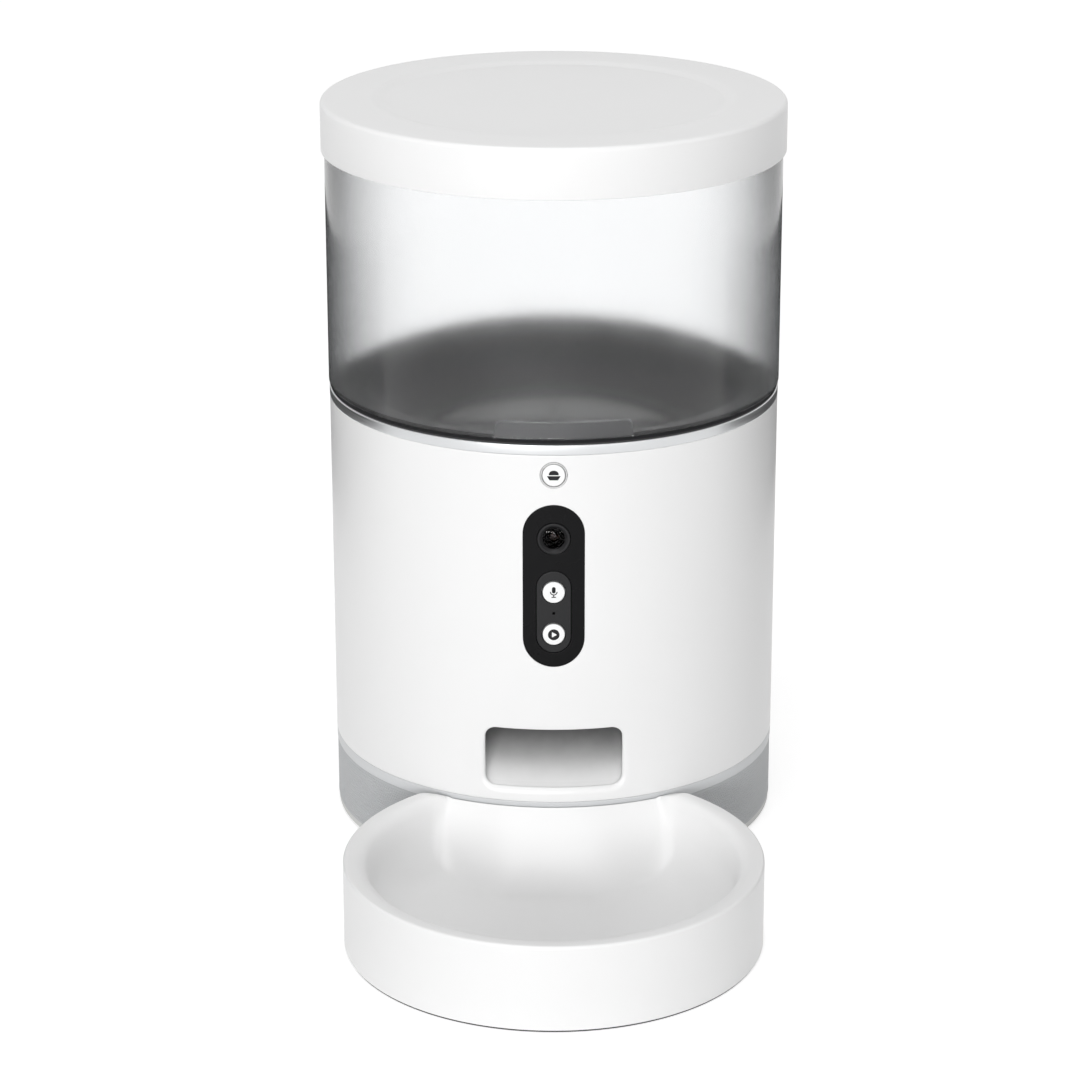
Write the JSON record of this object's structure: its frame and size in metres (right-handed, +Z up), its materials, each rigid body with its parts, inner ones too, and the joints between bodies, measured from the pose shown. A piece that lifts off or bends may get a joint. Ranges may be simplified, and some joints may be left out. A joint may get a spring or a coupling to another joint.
{
  "type": "pet feeder with camera",
  "caption": "Round pet feeder with a see-through food container, a camera and buttons in front, a metering rotor inside and a loose bowl that fits round its base.",
  "frame": {"origin": "on the floor, in the middle of the whole outline of body and bowl", "axes": "+Z up, -Y to the front where the bowl and the camera are, +X to the right seen from the front"},
  "size_m": [0.1936, 0.3304, 0.3117],
  "materials": {
    "white_plastic": "satin white plastic",
    "inner_plastic": "plain pale plastic",
    "clear_plastic": "frosted smoke-tinted plastic",
    "dark_plastic": "fine matt charcoal plastic",
    "black_rubber": "matt black rubber",
    "pale_rubber": "soft silicone",
    "silver_trim": "satin turned aluminium",
    "pale_trim": "pale grey plastic",
    "speaker_mesh": "finely perforated grey grille",
    "black_gloss": "smooth black plastic",
    "grey_plastic": "dark grey plastic",
    "mid_grey": "mid grey plastic",
    "lens": "coated lens glass",
    "board": "green circuit board",
    "steel": "bright steel",
    "bronze": "plain bearing bronze",
    "gear_plastic": "ivory gear plastic",
    "paper": "black paper cone"
  },
  "bodies": {
    "base": {"trim_ring": "silver_trim", "body_shell": "white_plastic", "top_deck": "inner_plastic", "rotor_housing": "inner_plastic", "housing_screws": "steel", "shaft_bush": "bronze", "motor_gearbox": "gear_plastic", "drive_motor": "steel", "motor_screws": "steel", "mid_frame": "inner_plastic", "frame_screws": "steel", "discharge_chute": "white_plastic", "camera_panel": "black_gloss", "lens_ring": "grey_plastic", "lens_glass": "lens", "lens_barrel": "black_gloss", "image_sensor": "mid_grey", "front_board": "board", "board_screws": "steel", "button_switches": "mid_grey", "button_panel": "grey_plastic", "feed_ring": "mid_grey", "microphone": "steel", "pale_ring": "pale_trim", "speaker_skirt": "speaker_mesh", "base_plate": "inner_plastic", "base_screws": "steel", "base_feet": "black_rubber", "speaker_frame": "mid_grey", "speaker_cone": "paper", "main_board": "board", "main_board_screws": "steel", "radio_module": "steel", "power_inlet": "black_gloss"},
    "hopper": {"food_container": "clear_plastic", "container_gasket": "black_rubber", "hopper_tray": "dark_plastic", "hopper_tab": "dark_plastic"},
    "lid": {"lid_cover": "white_plastic", "lid_plug": "white_plastic", "lid_seal": "pale_rubber"},
    "rotor": {"rotor": "inner_plastic", "rotor_tips": "black_rubber", "rotor_cap": "inner_plastic", "drive_shaft": "steel", "rotor_gear": "gear_plastic"},
    "pinion": {"drive_pinion": "gear_plastic", "pinion_shaft": "steel"},
    "record_button": {"record_button": "white_plastic"},
    "play_button": {"play_button": "white_plastic"},
    "feed_button": {"feed_button": "white_plastic"},
    "bowl": {"feeding_bowl": "white_plastic", "bowl_feet": "black_rubber"}
  },
  "joints": [
    {"name": "hopper_lift", "type": "slide", "parent": "base", "child": "hopper", "axis": [0, 0, 1], "range_m": [0, 0.06]},
    {"name": "lid_lift", "type": "slide", "parent": "hopper", "child": "lid", "axis": [0, 0, 1], "range_m": [0, 0.06]},
    {"name": "bowl_slide", "type": "slide", "parent": "base", "child": "bowl", "axis": [0, -1, 0], "range_m": [0, 0.1]},
    {"name": "rotor_spin", "type": "hinge", "parent": "base", "child": "rotor", "pos_m": [0, 0.0684, 0.15], "axis": [0, 0, 1], "continuous": true},
    {"name": "pinion_spin", "type": "hinge", "parent": "base", "child": "pinion", "pos_m": [0, 0.0984, 0.12], "axis": [0, 0, 1], "continuous": true},
    {"name": "record_press", "type": "slide", "parent": "base", "child": "record_button", "axis": [0, 1, 0], "range_m": [0, 0.0007], "stiffness_N_per_m": 400},
    {"name": "play_press", "type": "slide", "parent": "base", "child": "play_button", "axis": [0, 1, 0], "range_m": [0, 0.0007], "stiffness_N_per_m": 400},
    {"name": "feed_press", "type": "slide", "parent": "base", "child": "feed_button", "axis": [0, 1, 0], "range_m": [0, 0.0007], "stiffness_N_per_m": 400}
  ],
  "couplings": [
    {"joint": "pinion_spin", "follows": "rotor_spin", "ratio": -4}
  ]
}
